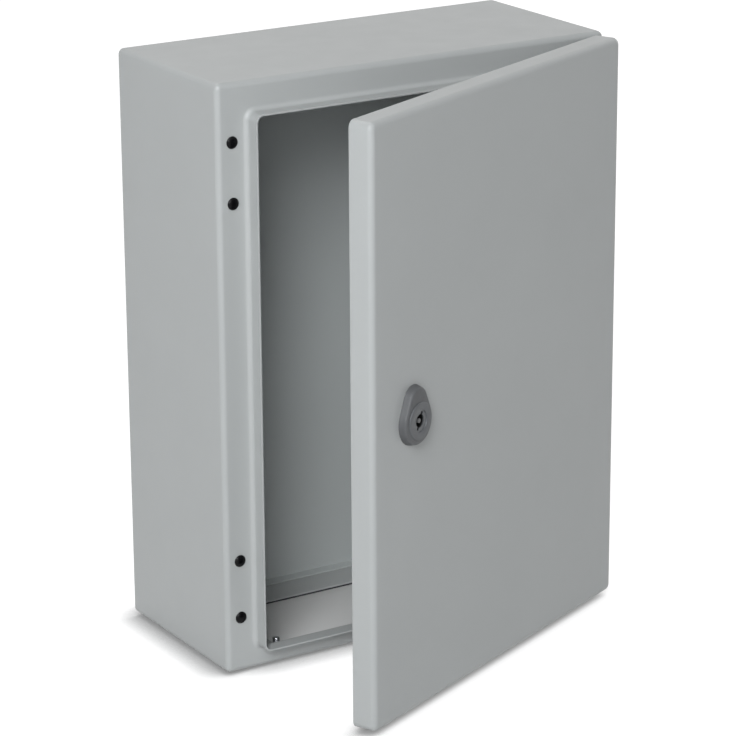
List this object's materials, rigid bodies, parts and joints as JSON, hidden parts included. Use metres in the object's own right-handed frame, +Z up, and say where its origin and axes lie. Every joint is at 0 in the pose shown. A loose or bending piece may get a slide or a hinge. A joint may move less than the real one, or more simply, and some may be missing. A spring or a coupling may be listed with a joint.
{
  "type": "wall enclosure",
  "caption": "Sheet-steel wall enclosure with a folded sealing lip, a side-hinged door on concealed hinges and a quarter-turn lock, standing with its door ajar.",
  "frame": {"origin": "on the wall plane, the centre of the four wall holes and of the back panel", "axes": "+X to the right when facing the door, +Y into the wall, +Z up; the door opens towards -Y on hinges at +X"},
  "size_m": [0.3007, 0.267, 0.4025],
  "materials": {
    "paint_grey": "satin light grey powder coat with fine orange peel",
    "gland_paint": "satin light grey powder coat",
    "zinc_plate": "bright zinc plating",
    "zinc_cast": "matt zinc plating on bent steel",
    "pin_steel": "drawn steel",
    "foam_rubber": "closed-cell foam with a matt skin",
    "black_plastic": "satin black polyamide",
    "lock_grey": "satin dark grey glass-filled polyamide",
    "lock_metal": "die-cast zinc, satin dark grey coat"
  },
  "bodies": {
    "body": {"body_shell": "paint_grey", "back_panel": "paint_grey", "mounting_plate_studs": "zinc_plate", "body_earth_stud": "zinc_plate", "body_earth_nut": "zinc_plate", "gland_plate": "gland_paint", "gland_gasket": "foam_rubber", "gland_nuts": "zinc_plate", "hinge_hole_plugs": "black_plastic", "upper_hinge_bracket": "zinc_cast", "lower_hinge_bracket": "zinc_cast", "hinge_bracket_screws": "zinc_plate", "hinge_bracket_nuts": "zinc_plate"},
    "door": {"door_panel": "paint_grey", "door_gasket": "foam_rubber", "upper_hinge_leaf": "zinc_cast", "lower_hinge_leaf": "zinc_cast", "hinge_leaf_studs": "zinc_plate", "hinge_leaf_nuts": "zinc_plate", "upper_hinge_pin": "pin_steel", "lower_hinge_pin": "pin_steel", "lock_escutcheon": "lock_grey", "lock_housing": "lock_metal", "lock_washer": "zinc_plate", "lock_nut": "zinc_plate", "door_earth_stud": "zinc_plate", "door_earth_nut": "zinc_plate"},
    "lock": {"lock_rotor": "lock_metal", "lock_cam": "zinc_plate", "cam_screw": "zinc_plate"}
  },
  "joints": [
    {"name": "door_hinge", "type": "hinge", "parent": "body", "child": "door", "pos_m": [0.1435, -0.1415, 0], "axis": [0, 0, 1], "range_deg": [-24, 106]},
    {"name": "lock_turn", "type": "hinge", "parent": "door", "child": "lock", "pos_m": [-0.08006, -0.25034, 0], "axis": [-0.4067, 0.9135, 0], "range_deg": [0, 90]}
  ]
}
